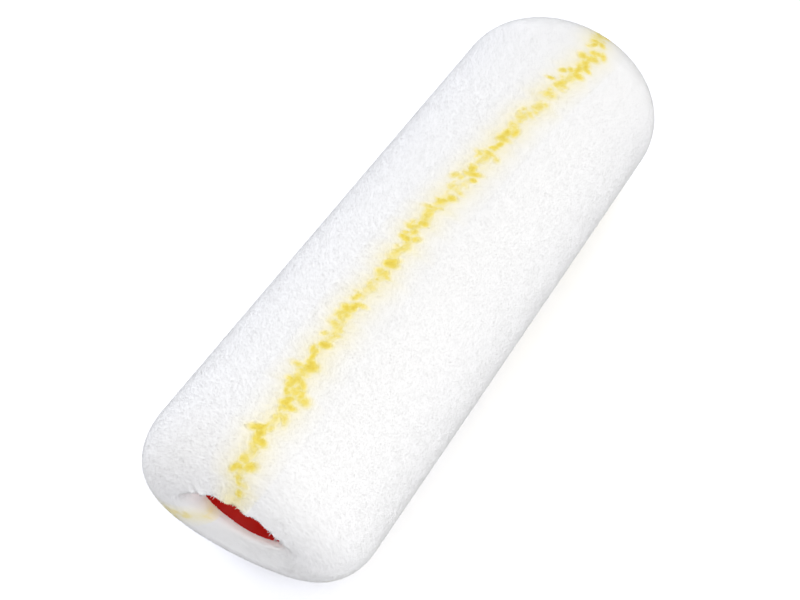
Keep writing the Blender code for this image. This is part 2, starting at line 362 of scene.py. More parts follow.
def place_points(x, radius, angle, rows=None, floor=FLOOR_GAP):
    """Places in the part's frame, with the ends askew and nothing below a floor, where the sleeve is pressed.

    Points that belong to rows of the outline are moved as those rows are, so that layers keep their distance.
    """
    turned = angle + TWIST * x + BOW * np.clip(1 - (x / SHOULDER_START) ** 2, 0, 1) / SLEEVE_RADIUS
    at_x, at_radius = (x, radius) if rows is None else (OUTLINE_X[rows][:, None], OUTLINE_R[rows][:, None])
    off_rim = smooth((np.abs(at_x) - SEAT) / (HALF_LENGTH - SEAT))
    free = np.where(at_radius > BACK_RADIUS, 1, off_rim)
    inward, drop = (np.where(at_x < 0, shift, 0) for shift in near_mouth(at_radius, turned, free))
    y, z = (radius + inward) * np.cos(turned), (radius + inward) * np.sin(turned)

    share = free * smooth((np.abs(at_x) / HALF_LENGTH - SKEW_START) / (1 - SKEW_START))
    sideways, upward, saddle = (np.where(at_x < 0, near, far) for near, far in zip(NEAR_SKEW, FAR_SKEW))
    side, height = y / SLEEVE_RADIUS, z / SLEEVE_RADIUS
    x = x + drop - share * (sideways * side + upward * height + saddle * (side**2 - height**2))
    return np.stack([x, y, above(AXIS_HEIGHT + z, floor)], axis=-1)


lowest = place_points(np.array(0.0), np.array(SLEEVE_RADIUS), np.array(-math.pi / 2))
print("pressed side in mm above the floor:", round(lowest[2] / MM, 2))


# %% Meshes over grids of places
def grid_faces(index):
    """The faces between neighbours in a grid of corner numbers, rows by columns."""
    corners = [index[:-1, :-1], index[:-1, 1:], index[1:, 1:], index[1:, :-1]]
    return np.stack(corners, axis=-1).reshape(-1, 4).tolist()


def grid_mesh(name, places):
    """A mesh over a grid of places, rows by columns."""
    mesh = bpy.data.meshes.new(name)
    index = np.arange(places[..., 0].size).reshape(places.shape[:2])
    mesh.from_pydata(places.reshape(-1, 3).tolist(), [], grid_faces(index))
    return mesh


def add_layer(mesh, name, values):
    """A number for each of a mesh's corners."""
    data = mesh.attributes.new(name, "FLOAT", "POINT").data
    data.foreach_set("value", np.asarray(values, np.float32).ravel())


def new_object(name, mesh):
    piece = bpy.data.objects.new(name, mesh)
    bpy.context.scene.collection.objects.link(piece)
    return piece


print("faces between 3 by 3 places:", len(grid_faces(np.arange(9).reshape(3, 3))))

# %% [markdown]
# ## Yellow yarn
# A few tufts of yellow yarn are woven into the white in three lines, and the white tufts beside them half
# cover them, so each stripe is a broken chain of small clumps. A noise texture could draw that, but separate
# clumps, each with its own place, shape and strength round a wandering middle, give the uneven steps of real
# yarn. A paler thread joins them, and a faint blur makes the tint, which is stronger at the ends, where the
# bent pile shows more of the yarn. Each point of a fine strip of skin takes the strongest of the three.

# %% Chains of yellow clumps
STRIP_HALF = 12 * MM
CLUMP_SIZES_MM, CLUMP_STRETCH = (1.4, 2.6), (1.0, 1.5)
CLUMP_GAPS_MM, CLUMP_STRENGTHS, CLUMPS_TOGETHER = (1.6, 4.6), (0.5, 1.2), (2, 5)
NARROW, BROAD = 1.0 * MM, 1.5 * MM  # spread of clumps at the two ends
WANDER, WANDER_KEPT = 0.8 * MM, 0.7
THREAD_WIDTH, THREAD_DYE, THREAD_VARIES = 2.6 * MM, 0.68, (0.3, 1.2)
HALO_WIDTH, HALO_DYE = 6.6 * MM, 0.33
END_WIDTH, END_DYE = 4.2 * MM, 0.5
END_REACH, END_FADE = 26 * MM, 0.35  # how far in an end is paler, and by what share
SOFTNESS = 1.7  # of a clump's edge
FLECK = 0.08  # uneven dye from tuft to tuft
DYE_SEED = 11


def clump(along, across, rng):
    """A soft oval clump of yellow tufts, 1 at its middle."""
    turn, size = rng.uniform(0, math.pi), rng.uniform(*CLUMP_SIZES_MM) * MM
    stretch = rng.uniform(*CLUMP_STRETCH)
    long = along * math.cos(turn) + across * math.sin(turn)
    short = across * math.cos(turn) - along * math.sin(turn)
    return np.exp(-(np.hypot(long / stretch, short * stretch) / size) ** SOFTNESS)


def yellow_dye(along, across, seed):
    """How much dye each point of a strip has, from 0 to 1."""
    rng = np.random.default_rng(seed)
    start, end = along.min(), along.max()
    clumps = np.zeros_like(across)
    path = [(start, 0.0)]
    while path[-1][0] < end:
        place = path[-1][0] + rng.uniform(*CLUMP_GAPS_MM) * MM
        centre = WANDER_KEPT * path[-1][1] + rng.normal(0, WANDER)
        path.append((place, centre))
        spread = NARROW + (BROAD - NARROW) * (place - start) / (end - start)
        strength = rng.uniform(*CLUMP_STRENGTHS)
        for _ in range(rng.integers(*CLUMPS_TOGETHER)):
            off_along, off_across = rng.normal(0, spread, 2)
            soft = clump(along - place - off_along, across - centre - off_across, rng)
            clumps = np.maximum(clumps, strength * soft)
    knots, centres = zip(*path)
    from_middle = across - np.interp(along, knots, centres)
    thread = THREAD_DYE * np.interp(along, knots, rng.uniform(*THREAD_VARIES, len(knots)))
    thread = thread * np.exp(-((from_middle / THREAD_WIDTH) ** 2))
    at_end = 1 - smooth(np.minimum(along - start, end - along) / END_REACH)
    halo = HALO_DYE + (END_DYE - HALO_DYE) * at_end
    halo = halo * np.exp(-((from_middle / (HALO_WIDTH + (END_WIDTH - HALO_WIDTH) * at_end)) ** 2))
    dye = np.maximum(np.maximum(clumps, thread) * (1 - END_FADE * at_end), halo)
    return np.clip(dye * (1 + FLECK * rng.normal(size=dye.shape)), 0, 1)


print("stripes of yarn:", len(STRIPE_ANGLES), "in strips", round(2 * STRIP_HALF / MM), "mm wide")

# %% Dye anywhere on the pile
# By stripe: how much of its near end stays hidden in the white, and the least share of dye there
HIDDEN_ENDS = {1: (20 * MM, 0.0), 2: (4 * MM, 0.6)}


def shown(along, stripe):
    """1 where a stripe's yarn shows, and less at an end where it stays hidden in the white."""
    hidden, least = HIDDEN_ENDS.get(stripe, (0.0, 1.0))
    return least + (1 - least) * smooth((along - hidden) / END_REACH)


def pile_dye(rows, angles):
    """The dye at some rows of the outline and some angles, from the stripe that they are near."""
    dye = np.zeros((len(ARC), len(angles)))
    for i, stripe_angle in enumerate(STRIPE_ANGLES):
        off_stripe = (angles - stripe_angle + math.pi) % math.tau - math.pi
        near = np.abs(off_stripe) * SLEEVE_RADIUS < STRIP_HALF
        if near.any():
            across = ROOT_R[:, None] * off_stripe[near]
            along = np.broadcast_to(ARC[:, None], across.shape)
            dye[:, near] = yellow_dye(along, across, DYE_SEED + i) * shown(along, i)
    return dye[rows]


all_rows = np.arange(len(ARC))
stripe_dye = pile_dye(all_rows, np.array(STRIPE_ANGLES))
print("mean dye along each stripe:", np.round(stripe_dye.mean(axis=0), 2))

# %% [markdown]
# ## Growing the tufts
# Hundreds of thousands of tufts cover the sleeve. Particles or hair curves could draw them, but neither is
# exported, so Geometry Nodes scatter points over a skin and set a thin three-sided spike on each. A spike is
# four triangles, which is as little as a closed shape can have. Neighbouring tufts lean together, as brushed
# pile does, which a noise texture a few millimetres wide decides, and a random part keeps them apart.

# %% Geometry Nodes tree for the tufts, and its inputs
TREE_INPUTS = {
    "Density": ("NodeSocketFloat", 14.0e6),
    "Spacing": ("NodeSocketFloat", 0.32 * MM),
    "Tuft height": ("NodeSocketFloat", TUFT_HEIGHT),
    "Tuft width": ("NodeSocketFloat", 0.34 * MM),
    "Least length": ("NodeSocketFloat", 0.8),
    "Most length": ("NodeSocketFloat", 1.12),
    "Lean": ("NodeSocketFloat", 0.4),
    "Stray": ("NodeSocketFloat", 0.35),
    "Clump width": ("NodeSocketFloat", 4.5 * MM),
    "Least dye": ("NodeSocketFloat", -1.0),
    "Most dye": ("NodeSocketFloat", 2.0),
    "Seed": ("NodeSocketInt", 1),
    "Material": ("NodeSocketMaterial", None),
}
TUFTS = bpy.data.node_groups.new("pile tufts", "GeometryNodeTree")
TUFTS.interface.new_socket("Geometry", in_out="INPUT", socket_type="NodeSocketGeometry")
TUFTS.interface.new_socket("Geometry", in_out="OUTPUT", socket_type="NodeSocketGeometry")
for name, (kind, default) in TREE_INPUTS.items():
    socket = TUFTS.interface.new_socket(name, in_out="INPUT", socket_type=kind)
    if default is not None:
        socket.default_value = default
given = add_node(TUFTS, "NodeGroupInput").outputs
print("nodes so far:", len(TUFTS.nodes))

# %% Points on the skin, kept where the dye is in the wanted range
points = add_node(
    TUFTS,
    "GeometryNodeDistributePointsOnFaces",
    {
        "Mesh": given["Geometry"],
        "Distance Min": given["Spacing"],
        "Density Max": given["Density"],
        "Seed": given["Seed"],
    },
    distribute_method="POISSON",
)
dye = add_node(TUFTS, "GeometryNodeInputNamedAttribute", {"Name": "dye"}, data_type="FLOAT")
trim = add_node(TUFTS, "GeometryNodeInputNamedAttribute", {"Name": "trim"}, data_type="FLOAT")
enough = add_node(
    TUFTS, "ShaderNodeMath", {0: dye.outputs[0], 1: given["Least dye"]}, operation="GREATER_THAN"
)
not_more = add_node(
    TUFTS, "ShaderNodeMath", {0: given["Most dye"], 1: dye.outputs[0]}, operation="GREATER_THAN"
)
wanted = add_node(
    TUFTS, "ShaderNodeMath", {0: enough.outputs[0], 1: not_more.outputs[0]}, operation="MULTIPLY"
)
print("nodes so far:", len(TUFTS.nodes))

# %% Lean, shared by neighbours, and a stray part of each tuft's own
spot = add_node(TUFTS, "GeometryNodeInputPosition")
per_clump = add_node(TUFTS, "ShaderNodeMath", {0: 1.0, 1: given["Clump width"]}, operation="DIVIDE")
noise = add_node(
    TUFTS, "ShaderNodeTexNoise", {"Vector": spot.outputs[0], "Scale": per_clump.outputs[0], "Detail": 1.0}
)
centred = add_node(
    TUFTS, "ShaderNodeVectorMath", {0: noise.outputs["Color"], 1: (0.5, 0.5, 0.5)}, operation="SUBTRACT"
)
shared = add_node(
    TUFTS, "ShaderNodeVectorMath", {0: centred.outputs[0], "Scale": given["Lean"]}, operation="SCALE"
)
random = add_node(
    TUFTS,
    "FunctionNodeRandomValue",
    {0: (-1.0, -1.0, -1.0), 1: (1.0, 1.0, 1.0), "Seed": given["Seed"]},
    data_type="FLOAT_VECTOR",
)
stray = add_node(
    TUFTS, "ShaderNodeVectorMath", {0: random.outputs[0], "Scale": given["Stray"]}, operation="SCALE"
)
leaning = add_node(
    TUFTS, "ShaderNodeVectorMath", {0: points.outputs["Normal"], 1: shared.outputs[0]}, operation="ADD"
)
pointing = add_node(
    TUFTS, "ShaderNodeVectorMath", {0: leaning.outputs[0], 1: stray.outputs[0]}, operation="ADD"
)
roll = add_node(
    TUFTS,
    "FunctionNodeRandomValue",
    {0: (0.0, 0.0, 0.0), 1: (0.0, 0.0, math.tau), "Seed": given["Seed"]},
    data_type="FLOAT_VECTOR",
)
rolled = add_node(TUFTS, "FunctionNodeEulerToRotation", {0: roll.outputs[0]})
rotation = add_node(
    TUFTS,
    "FunctionNodeAlignRotationToVector",
    {"Rotation": rolled.outputs[0], "Vector": pointing.outputs[0]},
    axis="Z",
)
print("nodes so far:", len(TUFTS.nodes))

# %% Each tuft's size
vary = add_node(
    TUFTS,
    "FunctionNodeRandomValue",
    {2: given["Least length"], 3: given["Most length"], "Seed": given["Seed"]},
    data_type="FLOAT",
)
trimmed = add_node(
    TUFTS, "ShaderNodeMath", {0: given["Tuft height"], 1: trim.outputs[0]}, operation="MULTIPLY"
)
height = add_node(
    TUFTS, "ShaderNodeMath", {0: trimmed.outputs[0], 1: vary.outputs[1]}, operation="MULTIPLY"
)
size = add_node(
    TUFTS,
    "ShaderNodeCombineXYZ",
    {"X": given["Tuft width"], "Y": given["Tuft width"], "Z": height.outputs[0]},
)
print("nodes so far:", len(TUFTS.nodes))

# %% The spike, which remembers how high on it each corner is and to which side
spike = add_node(
    TUFTS,
    "GeometryNodeMeshCone",
    {"Vertices": 3, "Radius Top": 0.0, "Radius Bottom": 1.0, "Depth": 1.0},
    fill_type="NGON",
)
corner = add_node(TUFTS, "ShaderNodeSeparateXYZ", {"Vector": spot.outputs[0]})
with_height = add_node(
    TUFTS,
    "GeometryNodeStoreNamedAttribute",
    {"Geometry": spike.outputs["Mesh"], "Name": "height", "Value": corner.outputs["Z"]},
    data_type="FLOAT",
    domain="POINT",
)
with_side = add_node(
    TUFTS,
    "GeometryNodeStoreNamedAttribute",
    {"Geometry": with_height.outputs[0], "Name": "side", "Value": corner.outputs["X"]},
    data_type="FLOAT",
    domain="POINT",
)
with_nap = add_node(
    TUFTS,
    "GeometryNodeStoreNamedAttribute",
    {"Geometry": points.outputs["Points"], "Name": "nap", "Value": points.outputs["Normal"]},
    data_type="FLOAT_VECTOR",
    domain="POINT",
)
tufts = add_node(
    TUFTS,
    "GeometryNodeInstanceOnPoints",
    {
        "Points": with_nap.outputs[0],
        "Selection": wanted.outputs[0],
        "Instance": with_side.outputs[0],
        "Rotation": rotation.outputs[0],
        "Scale": size.outputs[0],
    },
)
real = add_node(TUFTS, "GeometryNodeRealizeInstances", {"Geometry": tufts.outputs[0]})
print("nodes so far:", len(TUFTS.nodes))

# %% The UV map: dye across, with a little width for the bake, and height up
MAP_EDGE, MAP_SIZE, TUFT_MAP_WIDTH = 0.02, 0.96, 0.01
tuft_height = add_node(TUFTS, "GeometryNodeInputNamedAttribute", {"Name": "height"}, data_type="FLOAT")
tuft_side = add_node(TUFTS, "GeometryNodeInputNamedAttribute", {"Name": "side"}, data_type="FLOAT")
across = add_node(
    TUFTS,
    "ShaderNodeMath",
    {0: tuft_side.outputs[0], 1: TUFT_MAP_WIDTH, 2: dye.outputs[0]},
    operation="MULTIPLY_ADD",
)
map_place = add_node(TUFTS, "ShaderNodeCombineXYZ", {"X": across.outputs[0], "Y": tuft_height.outputs[0]})
inside = add_node(
    TUFTS,
    "ShaderNodeVectorMath",
    {0: map_place.outputs[0], 1: (MAP_SIZE, MAP_SIZE, 0.0), 2: (MAP_EDGE, MAP_EDGE, 0.0)},
    operation="MULTIPLY_ADD",
)
mapped = add_node(
    TUFTS,
    "GeometryNodeStoreNamedAttribute",
    {"Geometry": real.outputs[0], "Name": "OFBake", "Value": inside.outputs[0]},
    data_type="FLOAT2",
    domain="CORNER",
)
nap = add_node(TUFTS, "GeometryNodeInputNamedAttribute", {"Name": "nap"}, data_type="FLOAT_VECTOR")
shaded = add_node(TUFTS, "GeometryNodeSetMeshNormal", mode="FREE", domain="POINT")
TUFTS.links.new(mapped.outputs[0], shaded.inputs["Mesh"])
TUFTS.links.new(nap.outputs[0], shaded.inputs["Custom Normal"])
finish = add_node(
    TUFTS, "GeometryNodeSetMaterial", {"Geometry": shaded.outputs[0], "Material": given["Material"]}
)
add_node(TUFTS, "NodeGroupOutput", {"Geometry": finish.outputs[0]})
print("tuft tree:", len(TUFTS.nodes), "nodes")


# %% Grow tufts on a skin and turn them into a plain mesh
def plain_mesh(source, name, keep=()):
    """The evaluated object as a plain mesh, with only the named extra layers kept."""
    ready = source.evaluated_get(bpy.context.evaluated_depsgraph_get())
    mesh = bpy.data.meshes.new_from_object(ready)
    mesh.name = name
    for layer in [a.name for a in mesh.attributes if not a.is_internal and not a.is_required]:
        if layer not in keep:
            mesh.attributes.remove(mesh.attributes[layer])
    while None in mesh.materials[:]:
        mesh.materials.pop(index=mesh.materials[:].index(None))
    return mesh


def grow(name, skin, **values):
    """Tufts on a skin, as a finished piece above the surface that the sleeve lies on."""
    source = new_object(name + "_skin", skin)
    modifier = source.modifiers.new("tufts", "NODES")
    modifier.node_group = TUFTS
    sockets = {s.name: s.identifier for s in TUFTS.interface.items_tree if s.in_out == "INPUT"}
    for key, value in values.items():
        modifier[sockets[key.replace("_", " ")]] = value
    mesh = plain_mesh(source, name, keep=("OFBake", "custom_normal"))
    bpy.data.objects.remove(source)
    bpy.data.meshes.remove(skin)
    places = np.empty(len(mesh.vertices) * 3, np.float32)
    mesh.vertices.foreach_get("co", places)
    places = places.reshape(-1, 3)
    places[:, 2] = np.maximum(places[:, 2], FLOOR_GAP)
    mesh.vertices.foreach_set("co", places.ravel())
    mesh.update()
    return new_object(name, mesh)


print("tufts grow where a skin has layers of dye and trim")

# %% [markdown]
# ## White fields and stripes of tufts
# Between two stripes lies a white field, which is grown in four lengths so that no piece gets too heavy.
# Each stripe is a narrow strip with the dye worked out for it: its white tufts make one piece, and its
# yellow ones another, so that either colour can be changed by itself.

# %% Tufts of the white fields and the stripes
YELLOW_FROM = 0.42  # the least dye of a tuft that counts as yellow
FIELD_LENGTHS, FIELD_COLUMNS, STRIP_COLUMNS = 4, 56, 57
PRESSED = 0.65  # share of a tuft's height left where the sleeve lies
STRIPE_SEED, FIELD_SEED = 21, 31
TUFT_FACES = 4  # of a three-sided spike


def skin_grid(name, rows, angles, trim=None):
    """A skin at the tufts' roots over some rows of the outline and a range of angles."""
    x, radius = ROOT_X[rows][:, None], ROOT_R[rows][:, None]
    places = place_points(x, radius, angles[None, :], rows, ROOT_FLOOR)
    pressed = PRESSED + (1 - PRESSED) * smooth((places[..., 2] - ROOT_FLOOR) / PRESS_SOFTNESS)
    mesh = grid_mesh(name, places)
    add_layer(mesh, "dye", pile_dye(rows, angles))
    add_layer(mesh, "trim", pressed * (TRIM[rows][:, None] if trim is None else trim))
    return mesh


strip_angle = STRIP_HALF / SLEEVE_RADIUS
tuft_pieces = []
for i, angle in enumerate(STRIPE_ANGLES):
    angles = angle + np.linspace(-strip_angle, strip_angle, STRIP_COLUMNS)
    for colour, material, limits in (
        ("white", WHITE_PILE, {"Most_dye": YELLOW_FROM}),
        ("yellow", YELLOW_PILE, {"Least_dye": YELLOW_FROM}),
    ):
        name = f"{colour}_stripe_tufts_{i + 1}"
        skin = skin_grid(name, all_rows, angles)
        tufts = grow(name, skin, Material=material, Seed=STRIPE_SEED + i, **limits)
        tuft_pieces.append((tufts, f"{colour}_pile"))

    next_angle = angle + math.tau / len(STRIPE_ANGLES)
    field = np.linspace(angle + strip_angle, next_angle - strip_angle, FIELD_COLUMNS)
    for j, rows in enumerate(np.array_split(all_rows[:-1], FIELD_LENGTHS)):
        name = f"white_field_tufts_{i + 1}{'abcd'[j]}"
        skin = skin_grid(name, np.append(rows, rows[-1] + 1), field)
        tufts = grow(name, skin, Material=WHITE_PILE, Seed=FIELD_SEED + FIELD_LENGTHS * i + j)
        tuft_pieces.append((tufts, "white_pile"))

for piece, slot in tuft_pieces:
    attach(piece, "sleeve")
tuft_count = sum(len(piece.data.polygons) for piece, _ in tuft_pieces) // TUFT_FACES
print("tufts:", tuft_count, "in", len(tuft_pieces), "pieces")
print("heaviest:", max((len(p.data.polygons), p.name) for p, _ in tuft_pieces))

# %% [markdown]
# ## Fringe at the mouths
# Where the pile turns in at each end it was cut with the cloth, so some fibres are longer and hang ragged
# from the upper lip across the mouth, in locks of different lengths. Hair curves could draw them, but they
# are the same tufts, grown sparser, longer and more tangled on a narrow strip of the lip.

# %% Ragged fibres on each upper lip
FRINGE_FROM, FRINGE_TO = 7.5 * MM, 11 * MM  # along the outline
FRINGE_ANGLES, FRINGE_COLUMNS, FRINGE_SEED = (35, 165), 81, 63
FRINGE = {
    "Spacing": 0.5 * MM,
    "Density": 6.0e6,
    "Tuft_height": 1.5 * MM,
    "Tuft_width": 0.34 * MM,
    "Least_length": 0.3,
    "Most_length": 1.4,
    "Lean": 1.4,
    "Stray": 0.7,
    "Clump_width": 3.0 * MM,
}
upper_lip = np.radians(np.linspace(*FRINGE_ANGLES, FRINGE_COLUMNS))
lip_rows = all_rows[(ARC > FRINGE_FROM) & (ARC < FRINGE_TO)]
for side, rows in (("left", lip_rows), ("right", all_rows[::-1][lip_rows][::-1])):
    skin = skin_grid(f"mouth_fringe_{side}", rows, upper_lip, trim=locks(upper_lip))
    fringe = grow(f"mouth_fringe_{side}", skin, Material=WHITE_PILE, Seed=FRINGE_SEED, **FRINGE)
    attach(fringe, "sleeve")
    print(fringe.name, len(fringe.data.polygons) // TUFT_FACES, "fibres")

# %% [markdown]
# ## Under the tufts
# Below the tips the pile is so dense that it is a body of its own. Each solid of pile gets a finely divided
# body that ends between the tufts' roots and tips and sits on the cloth. It is closed, so it stands for the
# solid, and it has the same two numbers in its UV map as the tufts, so that the dye goes on under them.

# %% Closed shells of pile
LIP_BACK = 0.5 * MM  # how far the pile's back lies behind its lip on the plug's rim
# A body's height in the map sets its painted shade, as near a tuft's tip
BODY_MAP_SIZE, BODY_MAP_WIDTH, BODY_MAP_HEIGHT = 0.94, 0.005, 0.9


def back_outline(x, radius):
    """The back of the pile, on the cloth and on the plug's rim, for each point of the outline."""
    over_rim = np.abs(x) > SEAT
    back_x = np.clip(x, -SEAT, SEAT)
    back_r = np.where(over_rim, np.clip(radius + LIP_BACK, None, BACK_RADIUS), BACK_RADIUS)
    return back_x, back_r


def closed_shell(name, front, back, layers):
    """A closed mesh between two grids of places, with a number for each front corner in each layer."""
    index = np.arange(front[..., 0].size).reshape(front.shape[:2])
    behind = index + index.size
    faces = grid_faces(index) + grid_faces(behind[:, ::-1])
    for edge, back_edge in ((index[0], behind[0]), (index[-1][::-1], behind[-1][::-1])):
        faces += grid_faces(np.stack([back_edge, edge]))
    for edge, back_edge in ((index[:, 0][::-1], behind[:, 0][::-1]), (index[:, -1], behind[:, -1])):
        faces += grid_faces(np.stack([back_edge, edge]))
    mesh = bpy.data.meshes.new(name)
    mesh.from_pydata(np.concatenate([front.reshape(-1, 3), back.reshape(-1, 3)]).tolist(), [], faces)
    for layer, values in layers.items():
        add_layer(mesh, layer, np.concatenate([values.ravel(), np.zeros(index.size)]))
    shell = bmesh.new()
    shell.from_mesh(mesh)
    bmesh.ops.remove_doubles(shell, verts=shell.verts, dist=TINY / 10)
    bmesh.ops.recalc_face_normals(shell, faces=shell.faces)
    shell.to_mesh(mesh)
    shell.free()
    return mesh


def map_dye(mesh):
    """The UV map that the tufts have, with a little width for the bake, from the layer of dye."""
    dye = np.empty(len(mesh.vertices), np.float32)
    mesh.attributes["dye"].data.foreach_get("value", dye)
    corners = np.empty(len(mesh.loops), np.int32)
    mesh.loops.foreach_get("vertex_index", corners)
    starts = np.empty(len(mesh.polygons), np.int32)
    mesh.polygons.foreach_get("loop_start", starts)
    sizes = np.diff(np.append(starts, len(corners)))
    turn = (np.arange(len(corners)) - np.repeat(starts, sizes)) * math.pi / 2
    across = MAP_EDGE + BODY_MAP_SIZE * dye[corners] + BODY_MAP_WIDTH * np.cos(turn)
    places = np.stack([across, BODY_MAP_HEIGHT + BODY_MAP_WIDTH * np.sin(turn)], axis=-1)
    mesh.uv_layers.new(name="OFBake").data.foreach_set("uv", places.astype(np.float32).ravel())
    mesh.attributes.remove(mesh.attributes["dye"])


print("a body's front lies", round(BODY_DEPTH / MM, 2), "mm below the tips")

# %% Bodies of dense pile
FIELD_STEPS, STRIPE_STEPS = 72, 18


def pile_body(name, angles, material):
    x, radius = below_outline(BODY_DEPTH)
    back_x, back_r = back_outline(x, radius)
    front = place_points(x[:, None], radius[:, None], angles[None, :], all_rows, BODY_FLOOR)
    back = place_points(back_x[:, None], back_r[:, None], angles[None, :])
    mesh = closed_shell(name, front, back, {"dye": pile_dye(all_rows, angles)})
    map_dye(mesh)
    mesh.materials.append(material)
    return new_object(name, mesh)


for i, angle in enumerate(STRIPE_ANGLES):
    next_angle = angle + math.tau / len(STRIPE_ANGLES)
    stripe_angles = np.linspace(angle - STRIPE_HALF, angle + STRIPE_HALF, STRIPE_STEPS + 1)
    field_angles = np.linspace(angle + STRIPE_HALF, next_angle - STRIPE_HALF, FIELD_STEPS + 1)
    stripe = pile_body(f"yellow_pile_body_{i + 1}", stripe_angles, YELLOW_PILE)
    field = pile_body(f"white_pile_body_{i + 1}", field_angles, WHITE_PILE)
    for body, node, slot in (
        (stripe, f"yellow_stripe_{i + 1}", "yellow_pile"),
        (field, f"white_pile_{i + 1}", "white_pile"),
    ):
        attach(body, "sleeve")
        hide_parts(node)
        print(body.name, len(body.data.polygons), "faces")

# %% [markdown]
# ## Moulded plastic
# The core and its end plugs are red polypropylene, moulded with a fine satin surface. The plugs and the
# bushes could be turned again from their profiles, but their solids already have every wall, rib and slit, so
# a copy of each is merged, its flat triangles joined, and its edges rounded with a bevel. Faces that only
# differ by the turn of a facet are shaded smooth.

# %% Polypropylene and acetal
SMOOTHER, ROUGHER = 0.05, 0.08
GRIT_STRENGTH, GRIT_DEPTH = 0.15, 0.05 * MM


def moulded_plastic(name, code, deep_code, roughness, patch_mm, grit_mm):
    """Plastic with slow colour changes from the flow of the melt and a fine grit from the mould."""
    # Satin: broad soft highlights. Real grit is finer than a pixel, so it is drawn coarser to show
    material, tree, shader = new_material(name, IOR=1.49)
    place = add_node(tree, "ShaderNodeTexCoord").outputs["Object"]
    patches, grains = 1 / (patch_mm * MM), 1 / (grit_mm * MM)
    flow = add_node(tree, "ShaderNodeTexNoise", {"Vector": place, "Scale": patches, "Detail": 2.0})
    colour = add_node(tree, "ShaderNodeMix", {"Factor": flow.outputs["Fac"]}, data_type="RGBA")
    colour.inputs["A"].default_value, colour.inputs["B"].default_value = linear(deep_code), linear(code)
    tree.links.new(colour.outputs["Result"], shader.inputs["Base Color"])
    satin = add_node(
        tree,
        "ShaderNodeMapRange",
        {"Value": flow.outputs["Fac"], "To Min": roughness - SMOOTHER, "To Max": roughness + ROUGHER},
    )
    tree.links.new(satin.outputs["Result"], shader.inputs["Roughness"])
    grit = add_node(tree, "ShaderNodeTexNoise", {"Vector": place, "Scale": grains, "Detail": 1.0})
    bump = add_node(
        tree,
        "ShaderNodeBump",
        {"Height": grit.outputs["Fac"], "Strength": GRIT_STRENGTH, "Distance": GRIT_DEPTH},
    )
    tree.links.new(bump.outputs["Normal"], shader.inputs["Normal"])
    return material


RED_PLASTIC = moulded_plastic(
    "red moulded polypropylene", "#FC3424", "#F02A1A", roughness=0.34, patch_mm=9, grit_mm=0.5
)
ACETAL = moulded_plastic(
    "natural moulded acetal", "#F0EEE7", "#E8E5DC", roughness=0.38, patch_mm=7, grit_mm=0.4
)
print("plastics:", RED_PLASTIC.name, "and", ACETAL.name)


# %% Plugs, bushes and core
PLUG_EDGE, BUSH_EDGE, EDGE_STEPS = 0.3 * MM, 0.2 * MM, 2
FLAT_ANGLE, SHARP_ANGLE = math.radians(1), math.radians(30)


def moulded_copy(node, name, edge, material):
    """A copy of a solid with whole faces, rounded edges and smoothly shaded turned walls."""
    shape = bmesh.new()
    shape.from_mesh(frame["nodes"][node].data)
    bmesh.ops.remove_doubles(shape, verts=shape.verts, dist=TINY / 10)
    bmesh.ops.dissolve_limit(shape, angle_limit=FLAT_ANGLE, verts=shape.verts, edges=shape.edges)
    mesh = bpy.data.meshes.new(name)
    shape.to_mesh(mesh)
    shape.free()
    mesh.materials.clear()
    mesh.shade_smooth()
    source = new_object(name + "_source", mesh)
    bevel = source.modifiers.new("edges", "BEVEL")
    bevel.width = edge
    bevel.segments = EDGE_STEPS
    bevel.limit_method = "ANGLE"
    bevel.angle_limit = SHARP_ANGLE
    bevel.harden_normals = True
    finished = plain_mesh(source, name, keep=("custom_normal",))
    bpy.data.objects.remove(source)
    finished.materials.append(material)
    return new_object(name, finished)


for side in ("left", "right"):
    plug = moulded_copy(f"end_plug_{side}", f"red_plug_{side}", PLUG_EDGE, RED_PLASTIC)
    bush = moulded_copy(f"bush_{side}", f"acetal_bush_{side}", BUSH_EDGE, ACETAL)
    for piece, body, node, slot in (
        (plug, "sleeve", f"end_plug_{side}", "red_polypropylene"),
        (bush, "bearings", f"bush_{side}", "acetal"),
    ):
        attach(piece, body)
        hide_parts(node)
        print(piece.name, len(piece.data.polygons), "faces")
core = frame["nodes"]["core_tube"]
core.data.materials.clear()
core.data.materials.append(RED_PLASTIC)
print(core.name, "keeps its own shape, in", RED_PLASTIC.name)

# %% [markdown]
# ## Ground cloth
# The pile is woven into a ground cloth, which is wound round the core and glued. It is a plain weave of
# polyester, and it only shows where the pile is parted, but the sleeve wouldn't hold together without it. A
# tube of cloth carries the weave in its own UV map, threads round and threads along.

# %% Woven ground cloth
THREAD_PITCH, WEAVE_DEPTH = 0.9 * MM, 0.2 * MM
cloth_along, cloth_off, _ = around_axis("backing_cloth")
cloth_half, cloth_outer, cloth_inner = cloth_along.max(), cloth_off.max(), cloth_off.min()
cloth_turn = math.tau * (cloth_outer + cloth_inner) / 2


